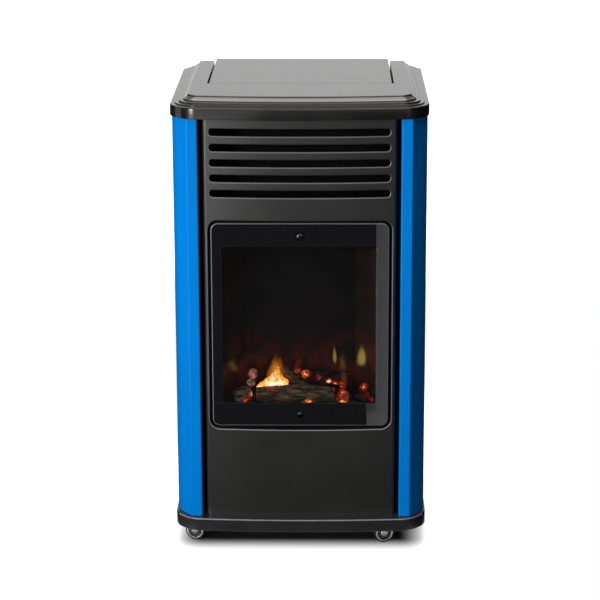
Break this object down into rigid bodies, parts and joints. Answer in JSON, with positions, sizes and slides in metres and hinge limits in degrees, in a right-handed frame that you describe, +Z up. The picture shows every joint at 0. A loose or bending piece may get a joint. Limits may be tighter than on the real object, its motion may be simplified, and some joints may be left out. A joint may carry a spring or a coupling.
{
  "type": "cabinet heater",
  "caption": "Free-standing portable gas cabinet heater: a windowed log-effect fire under a louvred outlet, blue side panels, hinged control cover, lift-off back and swivel castors.",
  "frame": {"origin": "on the floor under the middle of the cabinet's bounding box", "axes": "+X to the heater's left-hand viewer's right, +Y towards its back, +Z up; the window faces -Y"},
  "size_m": [0.4212, 0.425, 0.772],
  "materials": {
    "lid_black": "satin moulded",
    "well_black": "matt moulded",
    "fascia_metal": "brushed",
    "side_blue": "gloss enamel",
    "panel_black": "fine textured powder coat",
    "inner_black": "matt",
    "window_glass": "clear",
    "gasket_cord": "woven glass fibre",
    "screw_black": "gloss black",
    "firebox_lining": "heat-resistant matt",
    "burner_steel": "plain",
    "ceramic_log": "matt painted fibre",
    "ceramic_ember": "matt painted fibre",
    "probe_steel": "plain",
    "probe_ceramic": "glazed",
    "knob_black": "gloss",
    "button_red": "gloss",
    "igniter_plastic": "moulded",
    "valve_alloy": "die cast",
    "brass": "turned",
    "pipe_alloy": "drawn",
    "base_black": "satin moulded",
    "castor_plastic": "moulded",
    "castor_steel": "zinc plated",
    "castor_tyre": "satin",
    "castor_chrome": "polished"
  },
  "bodies": {
    "cabinet": {"back_log": "ceramic_log", "back_rail": "panel_black", "back_screws": "screw_black", "base_tray": "base_black", "branch_log": "ceramic_log", "bulkhead": "inner_black", "burner_injector": "brass", "burner_tray": "burner_steel", "castor_sockets": "probe_steel", "control_fascia": "fascia_metal", "control_well": "well_black", "ember_bed": "ceramic_ember", "firebox_back": "firebox_lining", "firebox_baffle": "firebox_lining", "firebox_cheek_left": "firebox_lining", "firebox_cheek_right": "firebox_lining", "firebox_floor": "firebox_lining", "flap_hinge_pins": "probe_steel", "front_frame": "inner_black", "front_panel": "panel_black", "gas_pipe": "pipe_alloy", "gas_valve": "valve_alloy", "glass_window": "window_glass", "heat_deflector": "inner_black", "hose_tail": "brass", "igniter_body": "igniter_plastic", "left_log": "ceramic_log", "main_log": "ceramic_log", "pilot_burner": "burner_steel", "right_log": "ceramic_log", "side_panel_left": "side_blue", "side_panel_right": "side_blue", "spark_electrode": "probe_ceramic", "thermocouple": "probe_steel", "top_lid": "lid_black", "window_frame": "inner_black", "window_gasket": "gasket_cord", "window_screws": "screw_black"},
    "control_flap": {"control_flap": "lid_black"},
    "valve_spindle": {"valve_spindle": "probe_steel"},
    "control_knob": {"control_knob": "knob_black"},
    "igniter_button": {"igniter_button": "button_red"},
    "rear_cover": {"rear_cover": "panel_black"},
    "castor_front_left_swivel": {"castor_front_left_body": "castor_plastic", "castor_front_left_pins": "castor_steel"},
    "castor_front_left_wheels": {"castor_front_left_wheels": "castor_tyre", "castor_front_left_trims": "castor_chrome"},
    "castor_front_right_swivel": {"castor_front_right_body": "castor_plastic", "castor_front_right_pins": "castor_steel"},
    "castor_front_right_wheels": {"castor_front_right_wheels": "castor_tyre", "castor_front_right_trims": "castor_chrome"},
    "castor_back_left_swivel": {"castor_back_left_body": "castor_plastic", "castor_back_left_pins": "castor_steel"},
    "castor_back_left_wheels": {"castor_back_left_wheels": "castor_tyre", "castor_back_left_trims": "castor_chrome"},
    "castor_back_right_swivel": {"castor_back_right_body": "castor_plastic", "castor_back_right_pins": "castor_steel"},
    "castor_back_right_wheels": {"castor_back_right_wheels": "castor_tyre", "castor_back_right_trims": "castor_chrome"}
  },
  "joints": [
    {"name": "flap_hinge", "type": "hinge", "parent": "cabinet", "child": "control_flap", "pos_m": [0, 0.198, 0.749], "axis": [-1, 0, 0], "range_deg": [0, 100]},
    {"name": "knob_turn", "type": "hinge", "parent": "cabinet", "child": "valve_spindle", "pos_m": [-0.062, 0.06, 0.72], "axis": [0, 0, 1], "range_deg": [0, 210]},
    {"name": "knob_push", "type": "slide", "parent": "valve_spindle", "child": "control_knob", "axis": [0, 0, -1], "range_m": [0, 0.003], "stiffness_N_per_m": 1500, "springref_m": -0.002},
    {"name": "igniter_push", "type": "slide", "parent": "cabinet", "child": "igniter_button", "axis": [0, 0, -1], "range_m": [0, 0.004], "stiffness_N_per_m": 1500, "springref_m": -0.002},
    {"name": "cover_lift", "type": "slide", "parent": "cabinet", "child": "rear_cover", "axis": [0, 0, 1], "range_m": [0, 0.025]},
    {"name": "castor_front_left_turn", "type": "hinge", "parent": "cabinet", "child": "castor_front_left_swivel", "pos_m": [-0.158, -0.138, 0.045], "axis": [0, 0, 1], "continuous": true},
    {"name": "castor_front_left_roll", "type": "hinge", "parent": "castor_front_left_swivel", "child": "castor_front_left_wheels", "pos_m": [-0.17713, -0.13215, 0.017], "axis": [0.2924, 0.9563, 0], "continuous": true},
    {"name": "castor_front_right_turn", "type": "hinge", "parent": "cabinet", "child": "castor_front_right_swivel", "pos_m": [0.158, -0.138, 0.045], "axis": [0, 0, 1], "continuous": true},
    {"name": "castor_front_right_roll", "type": "hinge", "parent": "castor_front_right_swivel", "child": "castor_front_right_wheels", "pos_m": [0.13868, -0.14318, 0.017], "axis": [-0.2588, 0.9659, 0], "continuous": true},
    {"name": "castor_back_left_turn", "type": "hinge", "parent": "cabinet", "child": "castor_back_left_swivel", "pos_m": [-0.158, 0.15, 0.045], "axis": [0, 0, 1], "continuous": true},
    {"name": "castor_back_left_roll", "type": "hinge", "parent": "castor_back_left_swivel", "child": "castor_back_left_wheels", "pos_m": [-0.17332, 0.16286, 0.017], "axis": [0.6428, 0.766, 0], "continuous": true},
    {"name": "castor_back_right_turn", "type": "hinge", "parent": "cabinet", "child": "castor_back_right_swivel", "pos_m": [0.158, 0.15, 0.045], "axis": [0, 0, 1], "continuous": true},
    {"name": "castor_back_right_roll", "type": "hinge", "parent": "castor_back_right_swivel", "child": "castor_back_right_wheels", "pos_m": [0.14861, 0.13234, 0.017], "axis": [-0.8829, 0.4695, 0], "continuous": true}
  ]
}
